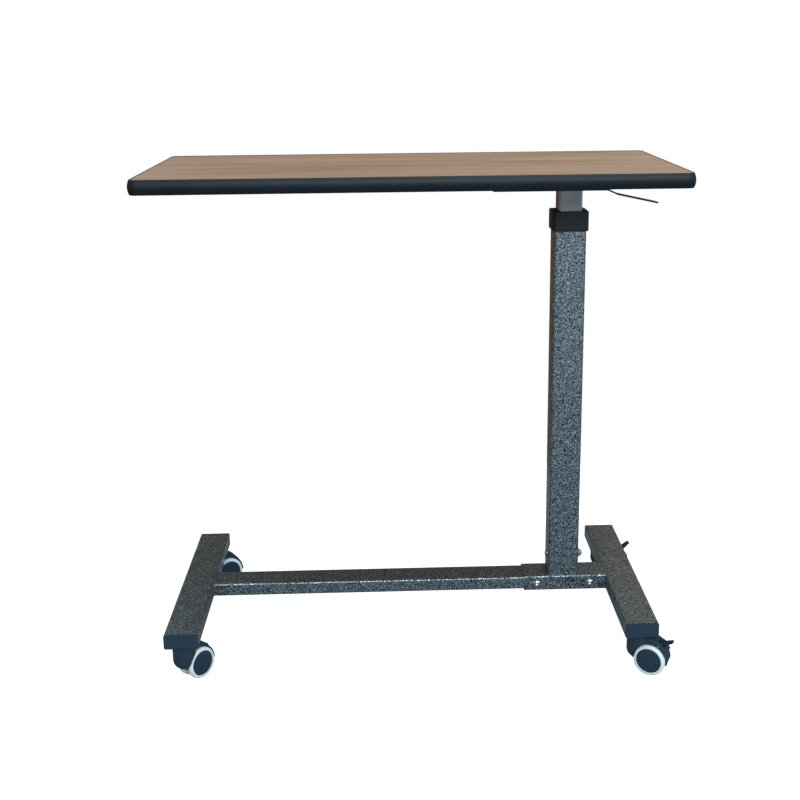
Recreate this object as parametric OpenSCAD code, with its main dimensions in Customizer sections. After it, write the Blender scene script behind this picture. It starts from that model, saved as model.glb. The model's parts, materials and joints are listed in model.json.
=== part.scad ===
// Overbed table on casters: a laminated top on a telescoping mast, locked at any
// height by a gas spring that a lever under the top releases.
// Frame: +X along the top, +Y to its far long edge, +Z up, origin on the floor
// below the middle of the top. Millimetres.

/* [Tabletop] */
// Length of the top along X
top_l = 762; // [740:1:800]
// Depth of the top along Y
top_d = 381; // [360:1:410]
// Overall thickness of the top at its edge trim
top_t = 20; // [19:0.5:23]
// Radius of the top's corners, outside the trim
top_corner_r = 12; // [11:0.5:20]
// How far the edge trim stands out from the board
trim_proud = 4; // [3:0.5:5]
// Height of the working surface above the floor as drawn
top_height = 741; // [735:1:760]

/* [Height travel] */
// How far the top can go down from the drawn height
travel_down = 27; // [15:1:27]
// How far the top can go up from the drawn height
travel_up = 395; // [300:1:395]

/* [Mast] */
// Distance of the mast from the middle of the top
mast_x = 235; // [225:1:240]
// Outer width of the square mast tube
mast_w = 48; // [47:0.5:50]
// Outer width of the square inner tube
inner_w = 36; // [35:0.5:37]
// Outer width of the collar on the mast
collar_w = 54; // [53:0.5:58]
// Height of the collar
collar_h = 29; // [24:1:34]

/* [Base] */
// Length of each foot along Y, with its end caps
foot_l = 400; // [380:1:420]
// Width of a foot tube
foot_w = 50; // [48:1:52]
// Height of a foot tube
foot_h = 22; // [21:0.5:23]
// Distance of the left foot from the middle of the top
left_foot_x = 350; // [340:1:352]
// Distance of the right foot from the middle of the top
right_foot_x = 329; // [328:1:340]
// Left end of the sleeve that carries the mast
sleeve_x = 172; // [160:1:180]
// Width of the sleeve tube
sleeve_w = 54; // [53:0.5:56]
// Height of the sleeve tube
sleeve_h = 25; // [24:0.5:27]

/* [Casters] */
// Radius of a wheel with its tyre
wheel_r = 24.2; // [24:0.1:25]
// Horizontal distance from a caster's stem to its axle
caster_trail = 21.5; // [21:0.5:22]
// Distance of a caster's stem from the end of its foot
caster_inset = 26; // [25:0.5:30]
// Height of the foot's underside above the floor
caster_h = 64.2; // [64:0.1:66]
// Swivel angle of each caster as drawn, from +X
front_left_angle = 50; // [0:1:359]
// Swivel angle of the front right caster
front_right_angle = -30; // [-180:1:179]
// Swivel angle of the rear left caster
rear_left_angle = 30; // [0:1:359]
// Swivel angle of the rear right caster
rear_right_angle = 5; // [0:1:359]
// Angle of the front right brake pedal as drawn: pressed
front_right_pedal = 22; // [22:1:40]
// Angle of the rear right brake pedal as drawn: released
rear_right_pedal = 40; // [22:1:40]

/* [Hidden] */
$fn = 64;
metal_wall = 2;
fit_gap = 0.1;
slide_gap = 0.3;
running_gap = 0.05;

// Finishes
vein_coat = [0.36, 0.40, 0.42];
black_plastic = [0.12, 0.13, 0.14];
slate_plastic = [0.16, 0.22, 0.26];
zinc = [0.72, 0.74, 0.75];
bright_steel = [0.80, 0.81, 0.82];
walnut = [0.55, 0.44, 0.36];
chipboard = [0.72, 0.60, 0.44];
backing_paper = [0.30, 0.26, 0.23];
pale_rubber = [0.80, 0.85, 0.88];

// Levels above the floor
sleeve_z = caster_h + 1.5;
sleeve_top = sleeve_z + sleeve_h;
underside = top_height - top_t;
bracket_depth = 20;
web_z = underside - bracket_depth;
collar_top = web_z - travel_down - 3;

// Top
laminate_t = 0.8;
board_corner_r = top_corner_r - trim_proud;
board_l = top_l - 2 * trim_proud;
board_d = top_d - 2 * trim_proud;
barb_depth = 6;
barb_t = 2.4;

// Bracket under the top
bracket_t = 2.5;
bracket_left = mast_x - 115;
bracket_right = mast_x + 55;
bracket_flange_y = 40;
channel_y = 22;
bracket_screw_xs = [mast_x - 100, mast_x - 30, mast_x + 40];
bracket_screw_y = 31;
bracket_screw_r = 2;

// Tubes and collar
tube_corner_r = 5;
mast_bore = mast_w - 2 * metal_wall;
inner_corner_r = 4;
collar_cap_t = 4;
guide_l = 50;
glide_h = 30;
stub_h = 58;
stub_plate_t = 5;
stub_top = sleeve_top + stub_h;
tube_end = stub_top + 5 + travel_down;

// Gas spring
cylinder_r = 14;
cylinder_bore_r = 12.5;
cylinder_floor = 4;
rod_r = 5;
rod_top = web_z + 9.5;
piston_h = 12;
piston_z = stub_top + cylinder_floor + 6 + travel_down;
seal_h = 20;
cylinder_top = piston_z + piston_h + travel_up + 10 + seal_h;
stud_l = 17;
release_pin_r = 2;
release_pin_top = rod_top + 4.2;
release_pin_l = 30;

// Release lever: a strip with a level part, a slope and a handle
lever_w = 16;
lever_t = 2;
lever_z = release_pin_top + slide_gap + lever_t / 2;
lever_pivot_x = mast_x + 23.6;
lever_pivot_z = lever_z - 6;
lever_pivot_r = 2.5;
lever_points = [[mast_x - 12, lever_z], [lever_pivot_x, lever_z],
                [lever_pivot_x + 48, lever_z - 22.4], [lever_pivot_x + 109, lever_z - 35.8]];

// Beam inside the sleeve
beam_w = sleeve_w - 2 * metal_wall - fit_gap;
beam_h = sleeve_h - 2 * metal_wall - fit_gap;
beam_z = sleeve_z + sleeve_h / 2;
sleeve_screw_offset = 42.5;
mast_bolt_z = sleeve_top + 28;
mast_bolt_r = 4;

// Feet and their end caps
foot_corner_r = 2.6;
cap_t = 3;
cap_plug_l = 12;

// Casters
axle_z = wheel_r;
wheel_inner = 5;
wheel_outer = 15.5;
rim_r = 19.4;
axle_r = 3;
axle_l = 26.6;
web_half = 3.5;
hood_half = 12;
hood_r = wheel_r + 4;
hood_edge_r = wheel_r + 2.3;
skirt_z = axle_z - 1.5;
wheel_clear_r = wheel_r + 1.3;
boss_r = 17.5;
housing_top = axle_z + 35;
stem_r = 5;
stem_head_r = 6;
stem_head_h = 2.5;
stem_bottom = axle_z + 23.5;
stem_collar_h = 4.7;
stem_thread_l = 13;
pedal_pivot = [13.6, 24.7];
pedal_pin_r = 1.5;
pedal_half = 6.5;
arm_half = 4.5;
pedal_pressed = 22;
pedal_released = 40;

// Each caster: name, stem position, swivel angle, and its brake pedal's angle or 0 for none
caster_y = foot_l / 2 - caster_inset;
CASTERS = [
    ["front_left", -left_foot_x, -caster_y, front_left_angle, 0],
    ["front_right", right_foot_x, -caster_y, front_right_angle, front_right_pedal],
    ["rear_left", -left_foot_x, caster_y, rear_left_angle, 0],
    ["rear_right", right_foot_x, caster_y, rear_right_angle, rear_right_pedal]
];
CASTER_PARTS = ["stem", "housing", "axle", "wheel_a", "tyre_a", "wheel_b", "tyre_b"];
BRAKE_PARTS = ["brake_pedal", "brake_pin"];
STRUCTURE = ["tabletop_board", "top_laminate", "backing_sheet", "edge_trim",
    "top_bracket", "bracket_screws", "inner_tube", "tube_glide", "gas_spring_rod",
    "rod_nut", "lever_pin", "release_lever", "release_pin", "mast_tube",
    "mast_collar", "mast_socket", "mast_bolt", "mast_dome_nut", "gas_spring_cylinder",
    "gas_spring_seal", "cylinder_nut", "cross_sleeve", "sleeve_screws", "cross_beam",
    "left_foot", "right_foot", "foot_end_caps", "stem_nuts"];

// ---- Shared shapes ----

// A rectangle w by h with corners of radius r, centred
module rounded_rect(w, h, r) {
    square([w - 2 * r, h], center = true);
    square([w, h - 2 * r], center = true);
    for (x = [-1, 1], y = [-1, 1])
        translate([x * (w / 2 - r), y * (h / 2 - r)]) circle(r = r);
}

// An upright bar of rounded section from z0 to z1
module upright(w, d, r, z0, z1) {
    translate([0, 0, z0]) linear_extrude(z1 - z0) rounded_rect(w, d, r);
}

// A tube of outer size w by h along X, from x0 to x1, centred at height z
module tube_x(w, h, r, wall, x0, x1, z) {
    translate([x0, 0, z]) rotate([90, 0, 90]) difference() {
        linear_extrude(x1 - x0) rounded_rect(w, h, r);
        translate([0, 0, -1]) linear_extrude(x1 - x0 + 2)
            rounded_rect(w - 2 * wall, h - 2 * wall, r - wall);
    }
}

// A hexagonal nut of width across flats af, drilled with radius bore
module hex_nut(af, height, bore) {
    difference() {
        cylinder(r = af / sqrt(3), h = height, $fn = 6);
        translate([0, 0, -1]) cylinder(r = bore, h = height + 2);
    }
}

// A low domed screw head on z = 0 with a hexagonal socket
module dome_head(r, height, socket_af) {
    ball_r = (r * r + height * height) / (2 * height);
    difference() {
        intersection() {
            translate([0, 0, height - ball_r]) sphere(r = ball_r);
            cylinder(r = r, h = height + 1);
        }
        translate([0, 0, height * 0.35]) cylinder(r = socket_af / sqrt(3), h = height, $fn = 6);
    }
}

// ---- Tabletop ----

module board_outline(inset = 0) {
    rounded_rect(board_l - 2 * inset, board_d - 2 * inset, max(board_corner_r - inset, 1));
}

module bracket_screw_places() {
    for (x = bracket_screw_xs, y = [-1, 1])
        translate([x, y * bracket_screw_y, underside]) children();
}

module tabletop_board() {
    color(chipboard) difference() {
        translate([0, 0, underside + laminate_t]) linear_extrude(top_t - 2 * laminate_t) board_outline();
        translate([0, 0, top_height - top_t / 2 - barb_t / 2]) linear_extrude(barb_t) difference() {
            square([top_l, top_d], center = true);
            board_outline(barb_depth);
        }
        bracket_screw_places() cylinder(r = bracket_screw_r, h = 14);
    }
}

module top_laminate() {
    color(walnut) translate([0, 0, top_height - laminate_t])
        linear_extrude(laminate_t) board_outline();
}

module backing_sheet() {
    color(backing_paper) difference() {
        translate([0, 0, underside]) linear_extrude(laminate_t) board_outline();
        bracket_screw_places() translate([0, 0, -1]) cylinder(r = bracket_screw_r, h = 4);
    }
}

// Section of the trim: a flat back with a bulging face, and a barb behind it
module trim_section() {
    bulge = 2.5;
    bulge_r = (top_t * top_t / 4 + bulge * bulge) / (2 * bulge);
    intersection() {
        translate([0, -top_t / 2]) square([trim_proud + 1, top_t]);
        translate([trim_proud - bulge_r, 0]) circle(r = bulge_r, $fn = 128);
    }
    translate([-barb_depth, -barb_t / 2]) square([barb_depth + 1, barb_t]);
}

module edge_trim() {
    r = board_corner_r;
    color(black_plastic) translate([0, 0, top_height - top_t / 2]) {
        for (side = [0, 180]) rotate([0, 0, side]) {
            translate([board_l / 2, board_d / 2 - r, 0]) rotate([90, 0, 0])
                linear_extrude(board_d - 2 * r) trim_section();
            translate([-board_l / 2 + r, board_d / 2, 0]) rotate([90, 0, 90])
                linear_extrude(board_l - 2 * r) trim_section();
        }
        for (x = [0, 1], y = [0, 1]) mirror([x, 0, 0]) mirror([0, y, 0])
            translate([board_l / 2 - r, board_d / 2 - r, 0])
                rotate_extrude(angle = 90) translate([r, 0]) trim_section();
    }
}

// ---- Bracket and lever ----

module top_bracket() {
    color(black_plastic) difference() {
        translate([bracket_left, 0, web_z]) rotate([90, 0, 90])
            linear_extrude(bracket_right - bracket_left) {
                translate([-channel_y, 0]) square([2 * channel_y, bracket_t]);
                for (side = [0, 1]) mirror([side, 0]) {
                    translate([channel_y - bracket_t, 0]) square([bracket_t, bracket_depth]);
                    translate([channel_y - bracket_t, bracket_depth - bracket_t])
                        square([bracket_flange_y - channel_y + bracket_t, bracket_t]);
                }
            }
        translate([mast_x, 0, web_z - 1]) cylinder(r = rod_r, h = bracket_t + 2);
        translate([lever_pivot_x, channel_y + 1, lever_pivot_z]) rotate([90, 0, 0])
            cylinder(r = lever_pivot_r, h = 2 * channel_y + 2);
        translate([mast_x + 27, -lever_w / 2 - 2, web_z - 1])
            cube([bracket_right - mast_x, lever_w + 4, bracket_t + 2]);
        bracket_screw_places() translate([0, 0, -bracket_t - 1])
            cylinder(r = bracket_screw_r, h = bracket_t + 2);
    }
}

module bracket_screws() {
    color(bright_steel) bracket_screw_places() {
        translate([0, 0, -bracket_t]) cylinder(r = bracket_screw_r, h = bracket_t + 14);
        translate([0, 0, -bracket_t]) mirror([0, 0, 1]) dome_head(4, 2.2, 2.5);
    }
}

module lever_pin() {
    color(bright_steel) translate([lever_pivot_x, 0, lever_pivot_z]) rotate([90, 0, 0]) {
        translate([0, 0, -channel_y]) cylinder(r = lever_pivot_r, h = 2 * channel_y);
        for (side = [0, 1]) mirror([0, 0, side])
            translate([0, 0, channel_y]) cylinder(r = 4.5, h = 1.5);
    }
}

// One straight piece of the lever strip between two points, with round ends
module lever_piece(a, b) {
    run = norm(b - a);
    translate([a[0], a[1]]) rotate(atan2(b[1] - a[1], b[0] - a[0])) {
        translate([0, -lever_t / 2]) square([run, lever_t]);
        circle(r = lever_t / 2);
        translate([run, 0]) circle(r = lever_t / 2);
    }
}

module release_lever() {
    ear_y = lever_w / 2 - bracket_t;
    color(black_plastic) difference() {
        union() {
            rotate([90, 0, 0]) translate([0, 0, -lever_w / 2]) linear_extrude(lever_w)
                for (i = [0 : 2]) lever_piece(lever_points[i], lever_points[i + 1]);
            for (side = [0, 1]) mirror([0, side, 0])
                translate([lever_pivot_x, lever_w / 2, lever_pivot_z]) rotate([90, 0, 0]) {
                    cylinder(r = 4.5, h = bracket_t);
                    translate([-4.5, 0, 0]) cube([9, 5, bracket_t]);
                }
        }
        translate([lever_pivot_x, lever_w, lever_pivot_z]) rotate([90, 0, 0])
            cylinder(r = lever_pivot_r + running_gap, h = 2 * lever_w);
        // rounded end of the handle
        tip = lever_points[3];
        translate([tip[0] - 5, 0, tip[1] - 8]) difference() {
            translate([0, -lever_w, 0]) cube([20, 2 * lever_w, 16]);
            translate([0, 0, -1]) cylinder(r = lever_w / 2, h = 18);
            translate([-10, -lever_w, -1]) cube([10, 2 * lever_w, 18]);
        }
    }
}

module release_pin() {
    color(bright_steel) translate([mast_x, 0, release_pin_top - release_pin_l])
        cylinder(r = release_pin_r, h = release_pin_l);
}

// ---- Telescoping mast ----

module inner_tube() {
    color(zinc) translate([mast_x, 0, 0]) difference() {
        upright(inner_w, inner_w, inner_corner_r, tube_end, web_z);
        upright(inner_w - 2 * metal_wall, inner_w - 2 * metal_wall, inner_corner_r - metal_wall,
            tube_end - 1, web_z + 1);
    }
}

module tube_glide() {
    outer = mast_bore - 2 * slide_gap;
    color(black_plastic) translate([mast_x, 0, 0]) difference() {
        upright(outer, outer, tube_corner_r - metal_wall, tube_end - 2, tube_end + glide_h);
        upright(inner_w, inner_w, inner_corner_r, tube_end, tube_end + glide_h + 1);
        upright(inner_w - 2 * metal_wall, inner_w - 2 * metal_wall, inner_corner_r - metal_wall,
            tube_end - 3, tube_end + 1);
    }
}

module mast_tube() {
    color(vein_coat) translate([mast_x, 0, 0]) difference() {
        upright(mast_w, mast_w, tube_corner_r, sleeve_top, collar_top - collar_cap_t);
        upright(mast_bore, mast_bore, tube_corner_r - metal_wall, sleeve_top - 1, collar_top);
        translate([-mast_w, 0, mast_bolt_z]) rotate([0, 90, 0])
            cylinder(r = mast_bolt_r, h = 2 * mast_w);
    }
}

// Collar: a skirt over the mast, a cap on its end and a guide down inside it
module mast_collar() {
    cap_z = collar_top - collar_cap_t;
    bore = inner_w + 2 * slide_gap;
    color(black_plastic) translate([mast_x, 0, 0]) difference() {
        union() {
            difference() {
                upright(collar_w, collar_w, tube_corner_r + 1, collar_top - collar_h, collar_top);
                upright(mast_w, mast_w, tube_corner_r, collar_top - collar_h - 1, cap_z);
            }
            upright(mast_bore, mast_bore, tube_corner_r - metal_wall, cap_z - guide_l, cap_z + 1);
        }
        upright(bore, bore, inner_corner_r, cap_z - guide_l - 1, collar_top + 1);
    }
}

// Socket: a short tube with a top plate, welded on the sleeve inside the mast
module mast_socket() {
    outer = mast_bore - 2 * fit_gap;
    color(vein_coat) translate([mast_x, 0, 0]) difference() {
        upright(outer, outer, tube_corner_r - metal_wall, sleeve_top, stub_top);
        upright(outer - 5, outer - 5, 1, sleeve_top - 1, stub_top - stub_plate_t);
        translate([0, 0, stub_top - 10]) cylinder(r = rod_r, h = 20);
        translate([-mast_w, 0, mast_bolt_z]) rotate([0, 90, 0])
            cylinder(r = mast_bolt_r, h = 2 * mast_w);
    }
}

module mast_bolt() {
    color(bright_steel) translate([mast_x, 0, mast_bolt_z]) rotate([0, 90, 0]) {
        translate([0, 0, -mast_w / 2]) cylinder(r = mast_bolt_r, h = mast_w + 5);
        translate([0, 0, -mast_w / 2]) mirror([0, 0, 1]) dome_head(7, 3.6, 5);
    }
}

module mast_dome_nut() {
    color(bright_steel) translate([mast_x + mast_w / 2, 0, mast_bolt_z]) rotate([0, 90, 0])
        difference() {
            union() {
                cylinder(r = 13 / sqrt(3), h = 4, $fn = 6);
                intersection() {
                    translate([0, 0, 3]) sphere(r = 6);
                    cylinder(r = 6, h = 9);
                }
            }
            translate([0, 0, -1]) cylinder(r = mast_bolt_r, h = 6);
        }
}

// ---- Gas spring ----

module gas_spring_cylinder() {
    color(black_plastic) translate([mast_x, 0, 0]) {
        difference() {
            translate([0, 0, stub_top]) cylinder(r = cylinder_r, h = cylinder_top - stub_top);
            translate([0, 0, stub_top + cylinder_floor])
                cylinder(r = cylinder_bore_r, h = cylinder_top - stub_top);
        }
        translate([0, 0, stub_top - stud_l]) cylinder(r = rod_r, h = stud_l + 1);
    }
}

module gas_spring_seal() {
    color(black_plastic) translate([mast_x, 0, cylinder_top - seal_h]) difference() {
        union() {
            cylinder(r = cylinder_bore_r, h = seal_h);
            translate([0, 0, seal_h]) cylinder(r = cylinder_r, h = 2);
        }
        translate([0, 0, -1]) cylinder(r = rod_r + running_gap, h = seal_h + 4);
    }
}

// Rod with its piston, a shoulder under the bracket and a bore for the release pin
module gas_spring_rod() {
    color(bright_steel) translate([mast_x, 0, 0]) difference() {
        union() {
            translate([0, 0, piston_z]) cylinder(r = rod_r, h = rod_top - piston_z);
            translate([0, 0, piston_z]) cylinder(r = cylinder_bore_r - 0.08, h = piston_h);
            translate([0, 0, web_z - 3]) cylinder(r = rod_r + 4, h = 3);
        }
        translate([0, 0, release_pin_top - release_pin_l - 5])
            cylinder(r = release_pin_r + running_gap, h = release_pin_l + 10);
    }
}

module rod_nut() {
    color(bright_steel) translate([mast_x, 0, web_z + bracket_t]) hex_nut(17, 6, rod_r);
}

module cylinder_nut() {
    color(bright_steel) translate([mast_x, 0, stub_top - stub_plate_t - 7]) hex_nut(17, 7, rod_r);
}

// ---- Base ----

module sleeve_screw_places() {
    for (side = [-1, 1])
        translate([mast_x + side * sleeve_screw_offset, -sleeve_w / 2, beam_z])
            rotate([90, 0, 0]) children();
}

module cross_sleeve() {
    color(vein_coat) difference() {
        tube_x(sleeve_w, sleeve_h, 3, metal_wall, sleeve_x, right_foot_x - foot_w / 2, beam_z);
        sleeve_screw_places() translate([0, 0, -8]) cylinder(r = 3, h = 16);
    }
}

module cross_beam() {
    color(vein_coat) difference() {
        tube_x(beam_w, beam_h, 3, metal_wall, -left_foot_x + foot_w / 2,
            right_foot_x - foot_w / 2 - 6, beam_z);
        sleeve_screw_places() translate([0, 0, -8]) cylinder(r = 3, h = 16);
    }
}

module sleeve_screws() {
    color(bright_steel) sleeve_screw_places() {
        translate([0, 0, -9]) cylinder(r = 3, h = 9);
        dome_head(6, 3.6, 4);
    }
}

module foot(x) {
    color(vein_coat) translate([x, 0, caster_h + foot_h / 2]) difference() {
        rotate([90, 0, 0]) linear_extrude(foot_l - 2 * cap_t, center = true)
            rounded_rect(foot_w, foot_h, foot_corner_r);
        rotate([90, 0, 0]) linear_extrude(foot_l, center = true)
            rounded_rect(foot_w - 2 * metal_wall, foot_h - 2 * metal_wall, 1);
        for (side = [-1, 1])
            translate([0, side * caster_y, -foot_h]) cylinder(r = stem_r, h = foot_h);
    }
}

module left_foot() {
    foot(-left_foot_x);
}

module right_foot() {
    foot(right_foot_x);
}

module foot_end_caps() {
    color(slate_plastic) for (x = [-left_foot_x, right_foot_x], side = [0, 1])
        mirror([0, side, 0]) translate([x, -foot_l / 2, caster_h + foot_h / 2]) rotate([-90, 0, 0]) {
            linear_extrude(cap_t) rounded_rect(foot_w, foot_h, foot_corner_r);
            linear_extrude(cap_t + cap_plug_l)
                rounded_rect(foot_w - 2 * metal_wall, foot_h - 2 * metal_wall, 2);
        }
}

module stem_nuts() {
    color(bright_steel) for (c = CASTERS)
        translate([c[1], c[2], caster_h + metal_wall]) hex_nut(17, 8, stem_r);
}

// ---- Casters, drawn with the stem on the Z axis and the axle out along +X ----

module at_axle() {
    translate([caster_trail, 0, axle_z]) rotate([90, 0, 0]) children();
}

module caster_stem() {
    color(bright_steel) {
        translate([0, 0, stem_bottom]) cylinder(r = stem_r, h = caster_h + stem_thread_l - stem_bottom);
        translate([0, 0, stem_bottom]) cylinder(r = stem_head_r, h = stem_head_h);
        translate([0, 0, caster_h - stem_collar_h]) cylinder(r = 10, h = stem_collar_h);
    }
}

// Hood, centred on the axle: a crowned cover over both wheels, a shoulder that
// rises to the stem's boss, and a claw between the wheels at the back
module hood(braked) {
    shoulder_top = housing_top - axle_z;
    drop = hood_r - hood_edge_r;
    crown_r = (hood_half * hood_half + drop * drop) / (2 * drop);
    shoulder = braked ? [[5.5, 33.2], [18.2, 26.6], [25.3, 15.5]]
        : [[15, 25.8], [hood_edge_r * sin(40), hood_edge_r * cos(40)]];
    difference() {
        intersection() {
            union() {
                rotate_extrude() intersection() {
                    translate([hood_r - crown_r, 0]) circle(r = crown_r, $fn = 128);
                    translate([0, -hood_half]) square([hood_r + 1, 2 * hood_half]);
                }
                linear_extrude(2 * hood_half, center = true)
                    polygon(concat([[0, 0], [-caster_trail, 0], [-caster_trail, shoulder_top],
                        [0, shoulder_top]], shoulder));
            }
            translate([-60, skirt_z - axle_z, -hood_half]) cube([120, 80, 2 * hood_half]);
        }
        if (braked) linear_extrude(60, center = true)
            polygon([[28.4, 9], [27.2, 4], [25.4, -2], [25.4, -20], [45, -20], [45, 9]]);
    }
    linear_extrude(2 * web_half, center = true) polygon(braked
        ? [[20, 2], [20.6, -2], [22.4, -4.5], [23.6, -10.5], [24.6, -5], [25.2, -1], [25.2, 2]]
        : [[20, 2], [20.6, -3], [23.6, -9], [25.2, -7], [28.2, 2]]);
}

// Stock that is cut from a braked hood so that it narrows towards its claw
module tail_taper() {
    translate([caster_trail + 12, 0, 0]) rotate([90, 0, 90]) linear_extrude(30)
        polygon([[hood_half + 1, 37], [web_half, 19], [web_half, 0], [30, 0], [30, 37]]);
}

module boss() {
    bend_r = 15;
    bottom = axle_z - 3;
    rotate_extrude() {
        square([boss_r - bend_r, housing_top - bottom]);
        translate([0, bend_r]) square([boss_r, housing_top - bottom - bend_r]);
        intersection() {
            translate([boss_r - bend_r, bend_r]) circle(r = bend_r);
            square([boss_r, bend_r + 1]);
        }
    }
}

function turned(p, angle) = [p[0] * cos(angle) - p[1] * sin(angle), p[0] * sin(angle) + p[1] * cos(angle)];

module caster_housing(braked) {
    color(slate_plastic) difference() {
        union() {
            translate([0, 0, axle_z - 3]) boss();
            at_axle() hood(braked);
            at_axle() cylinder(r = 8, h = 2 * web_half, center = true);
        }
        for (side = [0, 1]) mirror([0, side, 0])
            at_axle() translate([0, 0, web_half]) cylinder(r = wheel_clear_r, h = 30);
        at_axle() cylinder(r = axle_r, h = 3 * web_half, center = true);
        translate([0, 0, stem_bottom - 0.2])
            cylinder(r = stem_head_r + running_gap, h = stem_head_h + 0.4);
        translate([0, 0, stem_bottom]) cylinder(r = stem_r + running_gap, h = 30);
        if (braked) {
            for (side = [0, 1]) mirror([0, side, 0]) tail_taper();
            at_axle() {
                translate(pedal_pivot) {
                    cylinder(r = 5.5, h = 2 * pedal_half + 1, center = true);
                    linear_extrude(2 * arm_half + 1, center = true)
                        polygon(concat([for (x = [0, 30]) turned([x, -4], pedal_pressed)],
                            [for (x = [30, 0]) turned([x, 8], pedal_released)]));
                }
                translate(pedal_pivot) cylinder(r = pedal_pin_r, h = 40, center = true);
            }
        }
    }
}

module caster_axle() {
    color(bright_steel) at_axle() cylinder(r = axle_r, h = axle_l, center = true);
}

// Places a wheel part on side a (-1) or side b (1) of the caster
module on_side(side) {
    if (side < 0) at_axle() children();
    else mirror([0, 1, 0]) at_axle() children();
}

// Wheel core: hub, ribbed back and a slightly domed face that hides the axle
module wheel_core(side) {
    dome = 1;
    dome_r = (rim_r * rim_r + dome * dome) / (2 * dome);
    color(slate_plastic) on_side(side) difference() {
        union() {
            translate([0, 0, wheel_inner]) cylinder(r = rim_r, h = wheel_outer - dome - wheel_inner);
            intersection() {
                translate([0, 0, wheel_outer - dome_r]) sphere(r = dome_r, $fn = 128);
                translate([0, 0, wheel_outer - dome - 1]) cylinder(r = rim_r - 0.8, h = 4);
            }
        }
        cylinder(r = axle_r + running_gap, h = 13.6);
        translate([0, 0, wheel_inner - 1]) difference() {
            cylinder(r = rim_r - 3, h = 5);
            translate([0, 0, -1]) cylinder(r = 7, h = 7);
        }
    }
}

// Tyre: a band with a crowned tread and well rounded shoulders
module wheel_tyre(side) {
    width = wheel_outer - 0.4 - wheel_inner;
    shoulder_r = 4.2;
    color(pale_rubber) on_side(side) translate([0, 0, wheel_inner]) difference() {
        rotate_extrude() {
            square([wheel_r - shoulder_r, width]);
            translate([0, shoulder_r]) square([wheel_r, width - 2 * shoulder_r]);
            for (y = [shoulder_r, width - shoulder_r])
                translate([wheel_r - shoulder_r, y]) circle(r = shoulder_r);
        }
        translate([0, 0, -1]) cylinder(r = rim_r, h = width + 2);
    }
}

// Brake pedal at an angle above level: a tapered arm, a hub on its pin and a cam
// that meets the tyres
module brake_pedal(angle) {
    cam_angle = 249;
    cam_reach = 3.6;
    arm_l = 20;
    color(black_plastic) at_axle() translate(pedal_pivot) rotate(angle)
        difference() {
            union() {
                cylinder(r = 3.5, h = 2 * pedal_half, center = true);
                linear_extrude(2 * arm_half, center = true)
                    polygon([[0, -3.3], [0, 3.3], [arm_l, 1.4], [arm_l, -1.6]]);
                rotate(cam_angle) translate([cam_reach, 0])
                    cylinder(r = 1.4, h = 2 * pedal_half, center = true);
            }
            cylinder(r = pedal_pin_r + running_gap, h = 30, center = true);
        }
}

module brake_pin() {
    color(bright_steel) at_axle() translate(pedal_pivot)
        cylinder(r = pedal_pin_r, h = 2 * hood_half, center = true);
}

// One part of a caster; pedal is its brake pedal's angle, or 0 without a brake
module caster_part(part, pedal) {
    if (part == "stem") caster_stem();
    if (part == "housing") caster_housing(pedal > 0);
    if (part == "axle") caster_axle();
    if (part == "wheel_a") wheel_core(-1);
    if (part == "tyre_a") wheel_tyre(-1);
    if (part == "wheel_b") wheel_core(1);
    if (part == "tyre_b") wheel_tyre(1);
    if (part == "brake_pedal") brake_pedal(pedal);
    if (part == "brake_pin") brake_pin();
}

module place_caster(c) {
    translate([c[1], c[2], 0]) rotate([0, 0, c[3]]) children();
}

// ---- Nodes ----

tabletop_board();
top_laminate();
backing_sheet();
edge_trim();
top_bracket();
bracket_screws();
inner_tube();
tube_glide();
gas_spring_rod();
rod_nut();
lever_pin();
release_lever();
release_pin();
mast_tube();
mast_collar();
mast_socket();
mast_bolt();
mast_dome_nut();
gas_spring_cylinder();
gas_spring_seal();
cylinder_nut();
cross_sleeve();
sleeve_screws();
cross_beam();
left_foot();
right_foot();
foot_end_caps();
stem_nuts();
for (c = CASTERS) {
    for (p = c[4] > 0 ? concat(CASTER_PARTS, BRAKE_PARTS) : CASTER_PARTS)
        place_caster(c) caster_part(p, c[4]);
}
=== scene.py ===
"""Looks of an overbed table on casters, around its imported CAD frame.

Metres, in the CAD's own frame: +X along the top, +Y to its far long edge, +Z up.
"""

import json
import math

import bmesh
import bpy
from mathutils import Matrix, Vector

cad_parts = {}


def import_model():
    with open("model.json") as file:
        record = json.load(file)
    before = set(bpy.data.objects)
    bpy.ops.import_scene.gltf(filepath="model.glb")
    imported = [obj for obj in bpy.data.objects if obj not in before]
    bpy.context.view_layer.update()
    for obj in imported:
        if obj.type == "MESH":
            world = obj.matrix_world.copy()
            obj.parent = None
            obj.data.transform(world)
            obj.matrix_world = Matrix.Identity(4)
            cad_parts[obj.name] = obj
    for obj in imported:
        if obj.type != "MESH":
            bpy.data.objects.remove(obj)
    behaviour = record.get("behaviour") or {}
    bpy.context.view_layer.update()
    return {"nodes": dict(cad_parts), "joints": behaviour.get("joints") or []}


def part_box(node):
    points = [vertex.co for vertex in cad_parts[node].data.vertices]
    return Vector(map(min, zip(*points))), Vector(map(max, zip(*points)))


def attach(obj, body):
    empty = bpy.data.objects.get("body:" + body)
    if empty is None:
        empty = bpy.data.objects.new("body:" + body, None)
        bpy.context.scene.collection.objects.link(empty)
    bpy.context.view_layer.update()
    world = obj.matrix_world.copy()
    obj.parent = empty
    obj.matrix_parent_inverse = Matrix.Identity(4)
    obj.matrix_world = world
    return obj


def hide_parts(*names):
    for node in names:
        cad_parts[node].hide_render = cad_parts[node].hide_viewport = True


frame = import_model()
NODES = frame["nodes"]
JOINTS = {j["name"]: j for j in frame["joints"]}
MM = 0.001
CASTERS = ("front_left", "front_right", "rear_left", "rear_right")
# degrees by which each brake pedal's arm is drawn tilted up
PEDAL_ANGLES = {"front_right": 22, "rear_right": 40}
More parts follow.
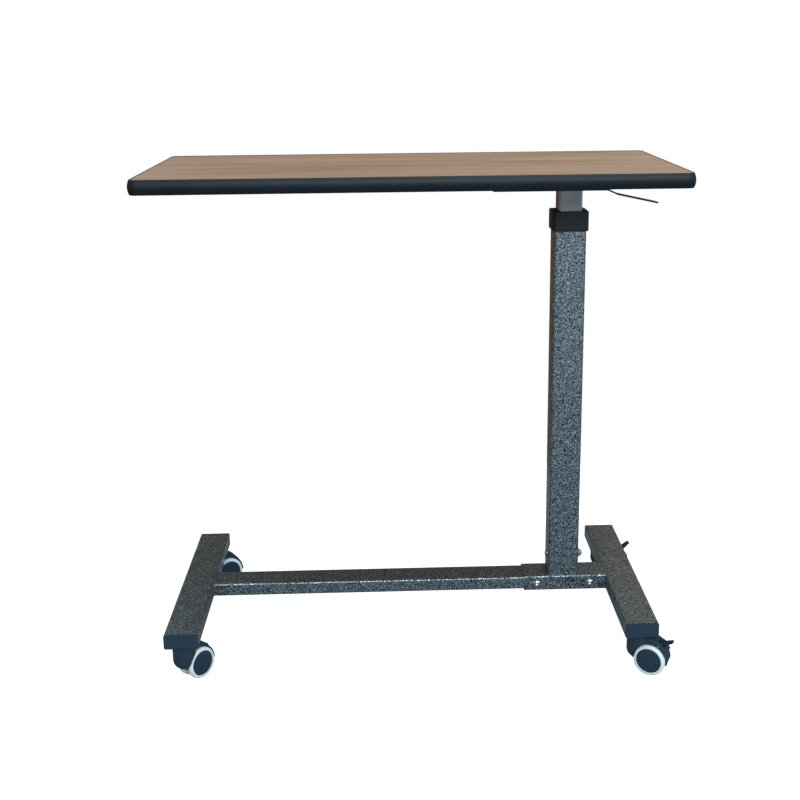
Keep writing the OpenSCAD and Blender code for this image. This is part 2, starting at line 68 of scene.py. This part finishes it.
# places of a colour mix node's share, two colours and result among its sockets
MIX_SHARE, MIX_A, MIX_B, MIX_RESULT = 0, 6, 7, 2


# ---------------------------------------------------------------- materials

def colour_ramp(tree, value, stops):
    """A ramp node with colours or greys at positions from 0 to 1."""
    made = tree.nodes.new("ShaderNodeValToRGB")
    elements = made.color_ramp.elements
    while len(elements) < len(stops):
        elements.new(0.5)
    for element, (position, colour) in zip(elements, stops):
        element.position = position
        grey = isinstance(colour, (int, float))
        element.color = (colour, colour, colour, 1.0) if grey else (*colour, 1.0)
    tree.links.new(value, made.inputs["Fac"])
    return made.outputs["Color"]


class Shader:
    """A material with a Principled shader, and short calls for the nodes that feed it."""

    def __init__(self, name, roughness=0.5, metallic=0.0, colour=(0.5, 0.5, 0.5)):
        self.material = bpy.data.materials.new(name)
        self.material.use_nodes = True
        self.tree = self.material.node_tree
        self.main = self.tree.nodes["Principled BSDF"]
        self.set("Base Color", (*colour, 1.0))
        self.set("Roughness", roughness)
        self.set("Metallic", metallic)
        self.material.diffuse_color = (*colour, 1.0)

    def set(self, socket, value):
        self.main.inputs[socket].default_value = value

    def link(self, output, target):
        socket = self.main.inputs[target] if isinstance(target, str) else target
        self.tree.links.new(output, socket)

    def node(self, kind, **settings):
        made = self.tree.nodes.new(kind)
        for key, value in settings.items():
            setattr(made, key, value)
        return made

    def place(self, scale=(1.0, 1.0, 1.0)):
        """Object coordinates, scaled."""
        coordinates = self.node("ShaderNodeTexCoord")
        mapping = self.node("ShaderNodeMapping")
        mapping.inputs["Scale"].default_value = scale
        self.link(coordinates.outputs["Object"], mapping.inputs["Vector"])
        return mapping.outputs["Vector"]

    def noise(self, vector, scale, detail=2.0, roughness=0.5, distortion=0.0):
        made = self.node("ShaderNodeTexNoise")
        self.link(vector, made.inputs["Vector"])
        made.inputs["Scale"].default_value = scale
        made.inputs["Detail"].default_value = detail
        made.inputs["Roughness"].default_value = roughness
        made.inputs["Distortion"].default_value = distortion
        return made.outputs["Fac"]

    def maths(self, operation, a, b=0.0):
        made = self.node("ShaderNodeMath", operation=operation)
        for socket, value in zip(made.inputs, (a, b)):
            if isinstance(value, (int, float)):
                socket.default_value = value
            else:
                self.link(value, socket)
        return made.outputs["Value"]

    def ramp(self, value, stops):
        return colour_ramp(self.tree, value, stops)

    def mix(self, share, a, b, blend="MIX"):
        made = self.node("ShaderNodeMix", data_type="RGBA", blend_type=blend)
        for place, value in ((MIX_SHARE, share), (MIX_A, a), (MIX_B, b)):
            socket = made.inputs[place]
            if isinstance(value, (int, float)):
                socket.default_value = value
            elif isinstance(value, tuple):
                socket.default_value = (*value, 1.0)
            else:
                self.link(value, socket)
        return made.outputs[MIX_RESULT]

    def bump(self, height, distance, strength=1.0):
        made = self.node("ShaderNodeBump")
        made.inputs["Strength"].default_value = strength
        made.inputs["Distance"].default_value = distance
        self.link(height, made.inputs["Height"])
        self.link(made.outputs["Normal"], "Normal")


def wood_laminate():
    """Printed walnut: long soft figure, streaks and fine pores along X under a satin film."""
    s = Shader("walnut_laminate", colour=(0.27, 0.18, 0.125))
    figure = s.noise(s.place((1.6, 11.0, 1.0)), 1.6, detail=3.0, roughness=0.55, distortion=0.5)
    rings = s.node("ShaderNodeTexWave", wave_type="BANDS", bands_direction="Y")
    s.link(s.place((0.35, 1.0, 1.0)), rings.inputs["Vector"])
    rings.inputs["Scale"].default_value = 11.0
    rings.inputs["Distortion"].default_value = 9.0
    rings.inputs["Detail"].default_value = 3.0
    rings.inputs["Detail Scale"].default_value = 0.9
    streaks = s.noise(s.place((3.0, 120.0, 1.0)), 2.0, detail=4.0, roughness=0.6)
    pores = s.noise(s.place((28.0, 900.0, 1.0)), 1.0, detail=2.0)
    base = s.ramp(figure, [(0.30, (0.35, 0.225, 0.150)), (0.50, (0.43, 0.290, 0.200)),
                           (0.70, (0.50, 0.350, 0.250))])
    ringed = s.mix(0.30, base, s.ramp(rings.outputs["Fac"], [(0.0, 0.42), (1.0, 0.60)]), "OVERLAY")
    streaked = s.mix(0.45, ringed, s.ramp(streaks, [(0.30, 0.36), (0.70, 0.62)]), "OVERLAY")
    pored = s.mix(0.50, streaked, s.ramp(pores, [(0.28, 0.25), (0.40, 0.50)]), "OVERLAY")
    s.link(pored, "Base Color")
    s.link(s.ramp(streaks, [(0.3, 0.40), (0.7, 0.48)]), "Roughness")
    s.bump(pores, 0.03 * MM)
    return s.material


def chipboard():
    """Pressed wood flakes of mixed tan colours."""
    s = Shader("particle_board", roughness=0.85)
    flakes = s.node("ShaderNodeTexVoronoi", feature="F1")
    s.link(s.place((1.0, 1.0, 2.2)), flakes.inputs["Vector"])
    flakes.inputs["Scale"].default_value = 420.0
    flakes.inputs["Randomness"].default_value = 1.0
    tone = s.ramp(flakes.outputs["Color"], [(0.1, (0.36, 0.24, 0.13)), (0.9, (0.66, 0.50, 0.31))])
    s.link(tone, "Base Color")
    s.bump(flakes.outputs["Distance"], 0.2 * MM)
    return s.material


def backing_paper():
    """Dark brown balancing sheet with a faint cloudy print."""
    s = Shader("backing_sheet", roughness=0.6)
    cloud = s.noise(s.place(), 9.0, detail=4.0)
    grit = s.noise(s.place(), 900.0, detail=1.0)
    s.link(s.ramp(cloud, [(0.3, (0.040, 0.030, 0.026)), (0.7, (0.062, 0.048, 0.041))]), "Base Color")
    s.link(s.ramp(grit, [(0.3, 0.52), (0.7, 0.68)]), "Roughness")
    s.bump(grit, 0.03 * MM)
    return s.material


def plastic(name, dark, light, roughness=0.45, grain=1100.0, depth=0.03, shine=0.5):
    """Moulded plastic with a fine spark-eroded grain and a slight cloudiness."""
    s = Shader(name, colour=light)
    cloud = s.noise(s.place(), 35.0, detail=3.0)
    grit = s.noise(s.place(), grain, detail=1.5)
    s.link(s.ramp(cloud, [(0.30, dark), (0.70, light)]), "Base Color")
    s.link(s.ramp(grit, [(0.25, roughness - 0.07), (0.75, roughness + 0.07)]), "Roughness")
    s.bump(grit, depth * MM)
    s.set("Specular IOR Level", shine)
    return s.material


def silver_vein():
    """Silver-vein powder coat: dark blue-grey ground, worm-like metallic veins, gloss over both."""
    s = Shader("silver_vein_coat", colour=(0.12, 0.14, 0.15))
    place = s.place()
    field = s.noise(place, 430.0, detail=0.4, roughness=0.5, distortion=0.3)
    patch = s.noise(place, 60.0, detail=2.0)
    ridge = s.maths("ABSOLUTE", s.maths("SUBTRACT", field, 0.5))
    lean = s.maths("ADD", ridge, s.maths("MULTIPLY", s.maths("SUBTRACT", patch, 0.5), 0.025))
    strength = s.ramp(lean, [(0.024, 1.0), (0.050, 0.40), (0.080, 0.0)])
    s.link(s.mix(strength, (0.003, 0.009, 0.014), (0.57, 0.66, 0.71)), "Base Color")
    s.link(s.ramp(strength, [(0.10, 0.10), (0.80, 0.95)]), "Metallic")
    s.link(s.ramp(strength, [(0.0, 0.45), (1.0, 0.32)]), "Roughness")
    s.bump(strength, 0.09 * MM, 0.6)
    s.set("Coat Weight", 0.35)
    s.set("Coat Roughness", 0.16)
    return s.material


def plated(name, colour, roughness=0.25, brushed=None):
    """Plated steel with a faint mottle and a fine grain, which brushed scales along each axis."""
    s = Shader(name, metallic=1.0, colour=colour)
    mottle = s.noise(s.place(), 55.0, detail=3.0)
    lines = s.noise(s.place(brushed or (1.0, 1.0, 1.0)), 700.0, detail=2.0)
    dim = tuple(0.82 * c for c in colour)
    s.link(s.mix(mottle, dim, colour), "Base Color")
    s.link(s.ramp(lines, [(0.3, roughness - 0.06), (0.7, roughness + 0.08)]), "Roughness")
    s.bump(lines, 0.015 * MM)
    return s.material


def tyre_rubber():
    """Pale non-marking rubber with a faint dusting."""
    s = Shader("pale_rubber", roughness=0.55, colour=(0.60, 0.68, 0.73))
    dust = s.noise(s.place(), 160.0, detail=4.0)
    grit = s.noise(s.place(), 1500.0, detail=1.0)
    s.link(s.ramp(dust, [(0.3, (0.80, 0.86, 0.89)), (0.6, (0.86, 0.91, 0.93))]), "Base Color")
    s.link(s.ramp(grit, [(0.3, 0.48), (0.7, 0.62)]), "Roughness")
    s.bump(grit, 0.03 * MM)
    s.set("Subsurface Weight", 0.08)
    s.set("Subsurface Radius", (2 * MM, 2 * MM, 2 * MM))
    return s.material


LAMINATE = wood_laminate()
CORE = chipboard()
BACKING = backing_paper()
EDGING = plastic("black_edging", (0.003, 0.007, 0.012), (0.004, 0.009, 0.015), 0.45, grain=800.0,
                 depth=0.02, shine=0.24)
BLACK = plastic("black_plastic", (0.0035, 0.0055, 0.0075), (0.005, 0.007, 0.010), 0.46, shine=0.38)
SLATE = plastic("slate_plastic", (0.010, 0.031, 0.052), (0.013, 0.035, 0.059), 0.48)
PEDAL_PLASTIC = plastic("pedal_plastic", (0.005, 0.015, 0.025), (0.007, 0.018, 0.030), 0.50)
VEIN = silver_vein()
ZINC = plated("satin_zinc", (0.41, 0.405, 0.40), 0.36, (1.0, 1.0, 0.04))
STEEL = plated("nickel_plate", (0.62, 0.63, 0.64), 0.20)
BLACK_STEEL = plastic("black_lacquer", (0.012, 0.009, 0.006), (0.020, 0.015, 0.010), 0.24, grain=1600.0,
                      depth=0.02, shine=0.35)
RUBBER = tyre_rubber()

SLOT_MATERIALS = {
    "laminate": LAMINATE, "core": CORE, "backing": BACKING, "edging": EDGING,
    "black_plastic": BLACK, "vein_coat": VEIN, "slate_plastic": SLATE, "zinc": ZINC,
    "steel": STEEL, "black_steel": BLACK_STEEL, "tyre_rubber": RUBBER,
}
NODE_SLOTS = {
    "tabletop_board": "core", "top_laminate": "laminate", "backing_sheet": "backing",
    "edge_trim": "edging", "top_bracket": "black_steel", "bracket_screws": "steel",
    "inner_tube": "zinc", "tube_glide": "black_plastic", "gas_spring_rod": "steel",
    "rod_nut": "steel", "lever_pin": "steel", "release_lever": "black_steel",
    "release_pin": "steel", "mast_tube": "vein_coat", "mast_collar": "black_plastic",
    "mast_socket": "vein_coat", "mast_bolt": "steel", "mast_dome_nut": "steel",
    "gas_spring_cylinder": "black_steel", "gas_spring_seal": "black_plastic",
    "cylinder_nut": "steel", "cross_sleeve": "vein_coat", "sleeve_screws": "steel",
    "cross_beam": "vein_coat", "left_foot": "vein_coat", "right_foot": "vein_coat",
    "foot_end_caps": "slate_plastic", "stem_nuts": "steel",
}
CASTER_SLOTS = {
    "stem": "steel", "housing": "slate_plastic", "axle": "steel", "wheel_a": "slate_plastic",
    "wheel_b": "slate_plastic", "tyre_a": "tyre_rubber", "tyre_b": "tyre_rubber",
    "brake_pedal": "black_plastic", "brake_pin": "steel",
}
for caster in CASTERS:
    for part, slot in CASTER_SLOTS.items():
        if f"{caster}_{part}" in NODES:
            NODE_SLOTS[f"{caster}_{part}"] = slot


def shade(obj):
    """Smooth shading, with edges sharper than 32 degrees left crisp."""
    mesh = obj.data
    for name in ("custom_normal", "sharp_face"):
        if name in mesh.attributes:
            mesh.attributes.remove(mesh.attributes[name])
    mesh.set_sharp_from_angle(angle=math.radians(32.0))


def soften(node, width, segments=2):
    """Rounds a CAD node's sharp edges by a width in millimetres, with modifiers only."""
    obj = NODES[node]
    obj.modifiers.new("weld", "WELD").merge_threshold = 0.002 * MM
    bevel = obj.modifiers.new("bevel", "BEVEL")
    bevel.width = width * MM
    bevel.segments = segments
    bevel.limit_method = "ANGLE"
    bevel.angle_limit = math.radians(40.0)
    obj.modifiers.new("normals", "WEIGHTED_NORMAL").keep_sharp = True


for name, obj in NODES.items():
    obj.data.materials.clear()
    obj.data.materials.append(SLOT_MATERIALS[NODE_SLOTS[name]])
    shade(obj)


# ---------------------------------------------------------------- mesh helpers

def add_piece(name, mesh, body, slot, matrix=None, replaces=()):
    """Links a mesh as a piece that rides on a body and takes a slot's material."""
    obj = bpy.data.objects.new(name, mesh)
    bpy.context.scene.collection.objects.link(obj)
    if matrix is not None:
        mesh.transform(matrix)
    mesh.materials.clear()
    mesh.materials.append(SLOT_MATERIALS[slot])
    shade(obj)
    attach(obj, body)
    if replaces:
        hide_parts(*replaces)
    return obj


def mesh_from(bm, name):
    """Merges doubled points, turns the faces outwards and makes the mesh."""
    bmesh.ops.remove_doubles(bm, verts=bm.verts, dist=1e-7)
    bmesh.ops.recalc_face_normals(bm, faces=bm.faces)
    for face in bm.faces:
        face.smooth = True
    mesh = bpy.data.meshes.new(name)
    bm.to_mesh(mesh)
    bm.free()
    return mesh


def bridge(bm, rings, close_last=True):
    """Faces between neighbouring closed rings of vertices, back to the first if asked."""
    count = len(rings) if close_last else len(rings) - 1
    for i in range(count):
        a, b = rings[i], rings[(i + 1) % len(rings)]
        for k in range(len(a)):
            m = (k + 1) % len(a)
            corners = []
            for vertex in (a[k], a[m], b[m], b[k]):
                if all((vertex.co - other.co).length > 1e-9 for other in corners):
                    corners.append(vertex)
            if len(corners) >= 3:
                bm.faces.new(corners)


def revolve(name, profile, segments=96):
    """A closed profile of (radius, height) in millimetres turned round the Z axis."""
    bm = bmesh.new()
    rings = []
    for step in range(segments):
        angle = 2 * math.pi * step / segments
        rings.append([bm.verts.new((r * MM * math.cos(angle), r * MM * math.sin(angle), h * MM))
                      for r, h in profile])
    bridge(bm, rings)
    return mesh_from(bm, name)


def arc(centre, radius, start, end, steps):
    """Points of an arc, angles in degrees, ends included."""
    points = []
    for i in range(steps + 1):
        angle = math.radians(start + (end - start) * i / steps)
        points.append((centre[0] + radius * math.cos(angle), centre[1] + radius * math.sin(angle)))
    return points


def rounded_rectangle(width, height, radius, steps=8):
    """Outline of a rounded rectangle as (point, outward normal) pairs, anticlockwise."""
    outline = []
    for sx, sy, start in ((1, 1, 0), (-1, 1, 90), (-1, -1, 180), (1, -1, 270)):
        centre = (sx * (width / 2 - radius), sy * (height / 2 - radius))
        for i in range(steps + 1):
            angle = math.radians(start + 90 * i / steps)
            normal = (math.cos(angle), math.sin(angle))
            outline.append(((centre[0] + radius * normal[0], centre[1] + radius * normal[1]), normal))
    return outline


def sweep(name, outline, profile):
    """A closed profile of (out, up) in millimetres swept round a flat closed outline."""
    bm = bmesh.new()
    rings = []
    for (x, y), (nx, ny) in outline:
        rings.append([bm.verts.new(((x + nx * out) * MM, (y + ny * out) * MM, up * MM))
                      for out, up in profile])
    bridge(bm, rings)
    return mesh_from(bm, name)


def box_into(bm, low, high, matrix):
    """Adds a closed box between two corners in millimetres of the matrix's frame."""
    centre = [(a + b) / 2 * MM for a, b in zip(low, high)]
    size = [(b - a) * MM for a, b in zip(low, high)]
    place = Matrix.Translation(centre) @ Matrix.Diagonal((*size, 1.0))
    bmesh.ops.create_cube(bm, size=1.0, matrix=matrix @ place)


def moulded(name, node, body, slot, voxel, rounds, extra=None, keep=0.4):
    """A CAD node's shape with all its edges softened, as a moulding's are, and extra ribs fused on.

    The voxel size is in millimetres, rounds counts the smoothing passes, and keep is the share of
    faces that is left.
    """
    bm = bmesh.new()
    bm.from_mesh(NODES[node].data)
    bmesh.ops.remove_doubles(bm, verts=bm.verts, dist=2e-6)
    if extra:
        extra(bm)
    mesh = bpy.data.meshes.new(name)
    bm.to_mesh(mesh)
    bm.free()
    work = bpy.data.objects.new(name + "_work", mesh)
    bpy.context.scene.collection.objects.link(work)
    remesh = work.modifiers.new("remesh", "REMESH")
    remesh.mode = "VOXEL"
    remesh.voxel_size = voxel * MM
    smooth = work.modifiers.new("smooth", "SMOOTH")
    smooth.factor = 0.5
    smooth.iterations = rounds
    fewer = work.modifiers.new("fewer", "DECIMATE")
    fewer.ratio = keep
    graph = bpy.context.evaluated_depsgraph_get()
    made = bpy.data.meshes.new_from_object(work.evaluated_get(graph))
    made.name = name
    bpy.data.objects.remove(work)
    bpy.data.meshes.remove(mesh)
    for polygon in made.polygons:
        polygon.use_smooth = True
    obj = add_piece(name, made, body, slot, replaces=(node,))
    if "sharp_edge" in made.attributes:
        made.attributes.remove(made.attributes["sharp_edge"])
    return obj


def bead(name, start, end):
    """A rippled weld bead in a straight line between two points in metres."""
    radius = 1.3 * MM
    ring_gap = 0.3 * MM
    ripple = 1.7 * MM
    taper = 2.0 * MM
    sides = 10
    bm = bmesh.new()
    start = Vector(start)
    end = Vector(end)
    total = (end - start).length
    along = (end - start).normalized()
    side = along.orthogonal().normalized()
    other = along.cross(side)
    steps = int(total / ring_gap)
    rings = []
    for i in range(steps + 1):
        at = total * i / steps
        centre = start.lerp(end, at / total)
        ends = min(1.0, 0.25 + min(at, total - at) / taper)
        r = radius * ends * (1.0 + 0.10 * math.sin(2 * math.pi * at / ripple))
        rings.append([bm.verts.new(centre + r * (side * math.cos(2 * math.pi * q / sides)
                                                 + other * math.sin(2 * math.pi * q / sides)))
                      for q in range(sides)])
    bridge(bm, rings, close_last=False)
    bm.faces.new(rings[0])
    bm.faces.new(list(reversed(rings[-1])))
    add_piece(name, mesh_from(bm, name), "base", "vein_coat")


# ---------------------------------------------------------------- camera, floor, light

def camera():
    """A view of the front, from a little above the top and just left of the middle."""
    pitch, yaw, roll = (math.radians(a) for a in (16.521, 1.999, -0.538))
    ahead = Vector((math.sin(yaw) * math.cos(pitch), math.cos(yaw) * math.cos(pitch), -math.sin(pitch)))
    level = ahead.cross(Vector((0, 0, 1))).normalized()
    upward = level.cross(ahead)
    right = level * math.cos(roll) + upward * math.sin(roll)
    top = upward * math.cos(roll) - level * math.sin(roll)
    data = bpy.data.cameras.new("camera")
    data.sensor_width = 36.0
    data.lens = 56.605
    data.shift_x = -0.0425
    data.shift_y = 0.0208
    obj = bpy.data.objects.new("camera", data)
    bpy.context.scene.collection.objects.link(obj)
    turn = Matrix((right, top, -ahead)).transposed().to_4x4()
    obj.matrix_world = Matrix.Translation((-0.0351, -1.8809, 0.9108)) @ turn
    bpy.context.scene.camera = obj


FLOOR_HALF_SIZE = 0.8


def floor():
    """A pale floor, white to the camera from above, unseen from below, that bounces a little light."""
    s = Shader("pale_floor", roughness=0.9, colour=(0.30, 0.35, 0.38))
    cloud = s.noise(s.place(), 0.7, detail=2.0)
    s.link(s.ramp(cloud, [(0.3, (0.29, 0.34, 0.37)), (0.7, (0.31, 0.36, 0.39))]), "Base Color")
    s.set("Specular IOR Level", 0.0)
    s.set("Emission Color", (1.0, 1.0, 1.0, 1.0))
    path = s.node("ShaderNodeLightPath")
    s.link(s.maths("MULTIPLY", path.outputs["Is Camera Ray"], 1.05), "Emission Strength")
    from_below = s.node("ShaderNodeNewGeometry").outputs["Backfacing"]
    s.link(s.maths("SUBTRACT", 1.0, from_below), "Alpha")
    bm = bmesh.new()
    bmesh.ops.create_grid(bm, x_segments=4, y_segments=4, size=FLOOR_HALF_SIZE)
    mesh = bpy.data.meshes.new("floor")
    bm.to_mesh(mesh)
    bm.free()
    obj = bpy.data.objects.new("floor", mesh)
    mesh.materials.append(s.material)
    bpy.context.scene.collection.objects.link(obj)


def area_light(name, place, target, size, power, colour):
    """A soft rectangular light at a place, turned to its target."""
    data = bpy.data.lights.new(name, "AREA")
    data.shape = "RECTANGLE"
    data.size, data.size_y = size
    data.energy = power
    data.color = colour
    obj = bpy.data.objects.new(name, data)
    bpy.context.scene.collection.objects.link(obj)
    obj.location = place
    obj.rotation_mode = "QUATERNION"
    obj.rotation_quaternion = (Vector(target) - Vector(place)).to_track_quat("-Z", "Y")


# colours of the room's light from behind the table, from its sides and from its front
ROOM_BACK = (0.138, 0.100, 0.067)
ROOM_SIDE = (0.16, 0.175, 0.18)
ROOM_FRONT = (0.32, 0.40, 0.45)
# direction of the bright side, half as long as a unit vector so that the share runs from 0 to 1
BRIGHT_SIDE = (0.28, -0.41, 0.0)


def world():
    """A dim room: brown behind and to the left, cool and brighter in front, white to the camera."""
    made = bpy.data.worlds.new("studio")
    bpy.context.scene.world = made
    made.use_nodes = True
    tree = made.node_tree
    tree.nodes.clear()
    link = tree.links.new

    direction = tree.nodes.new("ShaderNodeTexCoord").outputs["Generated"]
    facing = tree.nodes.new("ShaderNodeVectorMath")
    facing.operation = "DOT_PRODUCT"
    facing.inputs[1].default_value = BRIGHT_SIDE
    link(direction, facing.inputs[0])
    share = tree.nodes.new("ShaderNodeMath")
    share.operation = "ADD"
    share.inputs[1].default_value = 0.5
    link(facing.outputs["Value"], share.inputs[0])
    split = tree.nodes.new("ShaderNodeSeparateXYZ")
    link(direction, split.inputs["Vector"])
    around = colour_ramp(tree, share.outputs["Value"], (
        (0.0, ROOM_BACK), (0.30, ROOM_BACK), (0.55, ROOM_SIDE), (1.0, ROOM_FRONT)))
    height = colour_ramp(tree, split.outputs["Z"], (
        (0.1, (1.0, 1.0, 1.0)), (0.35, (0.84, 0.91, 1.15)),
        (0.75, (0.6, 0.62, 0.68)), (1.0, (0.5, 0.52, 0.56))))
    tone = tree.nodes.new("ShaderNodeMix")
    tone.data_type = "RGBA"
    tone.blend_type = "MULTIPLY"
    tone.inputs[MIX_SHARE].default_value = 1.0
    link(around, tone.inputs[MIX_A])
    link(height, tone.inputs[MIX_B])
    room = tree.nodes.new("ShaderNodeBackground")
    plain = tree.nodes.new("ShaderNodeBackground")
    plain.inputs["Color"].default_value = (1.0, 1.0, 1.0, 1.0)
    path = tree.nodes.new("ShaderNodeLightPath")
    mix = tree.nodes.new("ShaderNodeMixShader")
    out = tree.nodes.new("ShaderNodeOutputWorld")
    link(tone.outputs[MIX_RESULT], room.inputs["Color"])
    link(path.outputs["Is Camera Ray"], mix.inputs[0])
    link(room.outputs[0], mix.inputs[1])
    link(plain.outputs[0], mix.inputs[2])
    link(mix.outputs[0], out.inputs["Surface"])


camera()
floor()
world()
area_light("key", (0.5, -3.4, 2.1), (0.0, 0.0, 0.45), (3.4, 1.3), 116.0, (0.80, 0.94, 1.0))
area_light("left", (-3.0, -0.6, 1.2), (0.0, 0.0, 0.4), (1.2, 1.6), 9.0, (1.0, 0.87, 0.75))
area_light("right", (3.0, -0.8, 1.3), (0.1, 0.0, 0.4), (1.2, 1.6), 12.0, (0.95, 0.97, 1.0))
area_light("back_right", (1.35, 2.8, 1.55), (0.35, 0.0, 0.1), (1.1, 1.1), 1.5, (1.0, 0.99, 0.96))
area_light("back_left", (-1.4, 2.8, 1.7), (-0.35, 0.0, 0.1), (1.0, 1.0), 1.7, (0.50, 0.88, 1.0))
area_light("overhead", (0.0, -0.2, 3.0), (0.0, 0.0, 0.7), (2.4, 1.6), 38.0, (1.0, 0.96, 0.90))
bpy.context.scene.view_settings.view_transform = "Standard"
bpy.context.scene.view_settings.look = "None"


# ---------------------------------------------------------------- tabletop

def edge_moulding():
    """Bullnose T-moulding: a bulging face, a barb in the board's groove and a lip above the laminate."""
    low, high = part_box("edge_trim")
    board_low, board_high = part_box("tabletop_board")
    half = (high.z - low.z) / 2 / MM
    proud = (high.x - board_high.x) / MM
    corner = 8.0
    lip = 0.9
    raised = 0.6
    bulge = 2.5
    bulge_r = (half ** 2 + bulge ** 2) / (2 * bulge)
    lean = math.degrees(math.asin((half - lip) / bulge_r))
    centre = proud - bulge_r
    face = arc((centre, 0.0), bulge_r, -lean, lean, 24)
    edge_out = face[-1][0]
    round_off = [(edge_out - 0.12, half - 0.45), (edge_out - 0.45, half - 0.13), (edge_out - lip, half)]
    bottom = [(x, -y) for x, y in reversed(round_off)]
    top = [(x, y + raised) for x, y in round_off + [(0.7, half)]]
    top += [(0.25, half + raised - 0.15), (0.05, half + raised - 0.45)]
    barb = [(0.0, 1.2), (-1.6, 1.2), (-2.2, 0.7), (-3.8, 1.2), (-4.4, 0.7), (-6.0, 0.9),
            (-6.0, -0.9), (-4.4, -0.7), (-3.8, -1.2), (-2.2, -0.7), (-1.6, -1.2), (0.0, -1.2)]
    profile = bottom + face + top + [(0.0, half)] + barb + [(0.0, -half)]
    size = [(b - a) / MM for a, b in zip(board_low, board_high)]
    outline = rounded_rectangle(size[0], size[1], corner, steps=12)
    middle = Matrix.Translation(((low.x + high.x) / 2, (low.y + high.y) / 2, (low.z + high.z) / 2))
    add_piece("edge_moulding", sweep("edge_moulding", outline, profile), "tabletop", "edging",
              middle, replaces=("edge_trim",))


edge_moulding()
for node, width in (("top_bracket", 0.35), ("release_lever", 0.4), ("lever_pin", 0.3)):
    soften(node, width)

# ---------------------------------------------------------------- mast and base

moulded("mast_collar_cap", "mast_collar", "base", "black_plastic", voxel=0.7, rounds=5, keep=0.5)
soften("foot_end_caps", 0.9, segments=3)
for node, width in (("mast_tube", 0.25), ("cross_sleeve", 0.3), ("cross_beam", 0.12),
                    ("left_foot", 0.35), ("right_foot", 0.35)):
    soften(node, width)


def foot_welds():
    """Beads where the beam meets the left foot and the sleeve meets the right one."""
    beam_low, beam_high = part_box("cross_beam")
    sleeve_low, sleeve_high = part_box("cross_sleeve")
    inset, corner = 0.3 * MM, 3 * MM
    x = beam_low.x + inset
    bead("left_foot_weld", (x, beam_low.y + corner, beam_low.z), (x, beam_high.y - corner, beam_low.z))
    x = sleeve_high.x - inset
    bead("right_foot_weld", (x, sleeve_low.y + corner, sleeve_low.z),
         (x, sleeve_high.y - corner, sleeve_low.z))


foot_welds()

# ---------------------------------------------------------------- casters

RIM_R = 19.4
TREAD_R = 24.2
# (radius, height) in millimetres: a faintly domed face, the rim under the tyre and the hub
CORE_PROFILE = [(0.0, 15.45), (5.0, 15.43), (10.0, 15.33), (14.0, 15.17), (16.8, 14.98), (17.7, 14.82),
                (18.15, 14.5), (18.3, 14.1), (18.34, 12.9), (RIM_R, 12.9), (RIM_R, 5.0), (16.4, 5.0),
                (16.4, 8.0), (7.0, 8.0), (7.0, 5.0), (3.05, 5.0), (3.05, 13.6), (0.0, 13.6)]


def tyre_profile():
    """A narrow flat tread, round shoulders and a small chamfer on each side of the rim."""
    low, high, shoulder = 5.0, 15.1, 4.2
    near = arc((TREAD_R - shoulder, high - shoulder), shoulder, 0, 90, 10)
    far = arc((TREAD_R - shoulder, low + shoulder), shoulder, -90, 0, 10)
    near_chamfer = [(RIM_R + 0.25, high), (RIM_R, high - 0.25)]
    far_chamfer = [(RIM_R, low + 0.2), (RIM_R + 0.2, low)]
    return near + near_chamfer + far_chamfer + far


def caster_turn(caster):
    """Turn of a caster about its stem, with X towards its axle and Z up."""
    axis = JOINTS[f"{caster}_wheel_a_spin"]["axis"]
    return Matrix.Rotation(math.atan2(-axis[0], axis[1]), 4, "Z")


def axle_matrix(caster, side):
    """Frame on a caster's axle whose Z points out of the caster on side a or b."""
    pos = JOINTS[f"{caster}_wheel_a_spin"]["pos_m"]
    out = Matrix.Rotation(math.radians(90 if side == "a" else -90), 4, "X")
    return Matrix.Translation(pos) @ caster_turn(caster) @ out


def pedal_ribs(caster):
    """Grip ribs across the top of a brake pedal's arm, at the angle that the arm is drawn at."""
    pos = Vector(JOINTS[f"{caster}_brake_press"]["pos_m"])
    tilt = Matrix.Rotation(-math.radians(PEDAL_ANGLES[caster]), 4, "Y")
    place = Matrix.Translation(pos) @ caster_turn(caster) @ tilt
    rib_half = 3.8
    rib_foot = 0.5
    rib_rise = 0.35
    rib_width = 1.0

    def add(bm):
        for x in (10.0, 12.5, 15.0, 17.5):
            arm_top = 3.3 - 0.095 * x
            box_into(bm, (x, -rib_half, rib_foot), (x + rib_width, rib_half, arm_top + rib_rise), place)
    return add


def caster_looks(caster):
    """Wheels, hood and pedal of one caster in place of the CAD's plainer ones."""
    for side in "ab":
        body = f"{caster}_wheel_{side}"
        place = axle_matrix(caster, side)
        add_piece(f"{caster}_rim_{side}", revolve("rim", CORE_PROFILE), body, "slate_plastic", place,
                  replaces=(f"{caster}_wheel_{side}",))
        add_piece(f"{caster}_tread_{side}", revolve("tread", tyre_profile()), body, "tyre_rubber", place,
                  replaces=(f"{caster}_tyre_{side}",))
    moulded(f"{caster}_hood", f"{caster}_housing", f"{caster}_caster", "slate_plastic",
            voxel=0.55, rounds=4)
    if caster in PEDAL_ANGLES:
        pedal = moulded(f"{caster}_pedal", f"{caster}_brake_pedal", f"{caster}_brake", "black_plastic",
                        voxel=0.35, rounds=4, extra=pedal_ribs(caster))
        # a bluer black than the slot's other pieces
        pedal.data.materials[0] = PEDAL_PLASTIC


for caster in CASTERS:
    caster_looks(caster)
